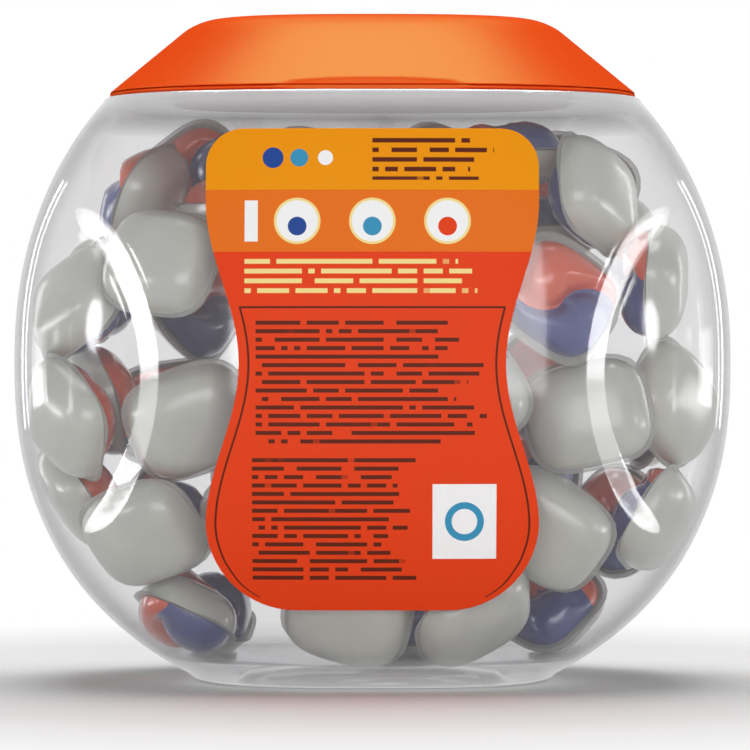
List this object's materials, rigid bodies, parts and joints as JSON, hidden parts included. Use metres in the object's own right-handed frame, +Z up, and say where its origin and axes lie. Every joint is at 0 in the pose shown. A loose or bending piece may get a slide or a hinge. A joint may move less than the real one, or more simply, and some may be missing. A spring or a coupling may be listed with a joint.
{
  "type": "laundry pod tub",
  "caption": "Clear bulging plastic jar of three-chamber laundry pods, with side grips, a waisted label and a hinged flip-top lid.",
  "frame": {"origin": "middle of the base, on the surface that it stands on", "axes": "+X across the label face to the right as seen in the picture, +Y away from the label, +Z up"},
  "size_m": [0.2, 0.1255, 0.1837],
  "materials": {
    "clear_plastic": "clear gloss",
    "label_film": "printed film",
    "closure_plastic": "satin",
    "pod_film": "soft gloss film"
  },
  "bodies": {
    "tub": {"jar": "clear_plastic", "label": "label_film", "collar": "closure_plastic", "pod_01": "pod_film", "pod_02": "pod_film", "pod_03": "pod_film", "pod_04": "pod_film", "pod_05": "pod_film", "pod_06": "pod_film", "pod_07": "pod_film", "pod_08": "pod_film", "pod_09": "pod_film", "pod_10": "pod_film", "pod_11": "pod_film", "pod_12": "pod_film", "pod_13": "pod_film", "pod_14": "pod_film", "pod_15": "pod_film", "pod_16": "pod_film", "pod_17": "pod_film", "pod_18": "pod_film", "pod_19": "pod_film", "pod_20": "pod_film", "pod_21": "pod_film", "pod_22": "pod_film", "pod_23": "pod_film", "pod_24": "pod_film", "pod_25": "pod_film", "pod_26": "pod_film", "pod_27": "pod_film", "pod_28": "pod_film", "pod_29": "pod_film", "pod_30": "pod_film", "pod_31": "pod_film", "pod_32": "pod_film", "pod_33": "pod_film", "pod_34": "pod_film", "pod_35": "pod_film", "pod_36": "pod_film", "pod_37": "pod_film", "pod_38": "pod_film", "pod_39": "pod_film", "pod_40": "pod_film", "pod_41": "pod_film", "pod_42": "pod_film", "pod_43": "pod_film", "pod_44": "pod_film", "pod_45": "pod_film", "pod_46": "pod_film", "pod_47": "pod_film", "pod_48": "pod_film", "pod_49": "pod_film", "pod_50": "pod_film", "pod_51": "pod_film", "pod_52": "pod_film"},
    "lid": {"lid": "closure_plastic"}
  },
  "joints": [
    {"name": "lid_hinge", "type": "hinge", "parent": "tub", "child": "lid", "pos_m": [0, -0.0483, 0.1633], "axis": [1, 0, 0], "range_deg": [0, 120]}
  ]
}
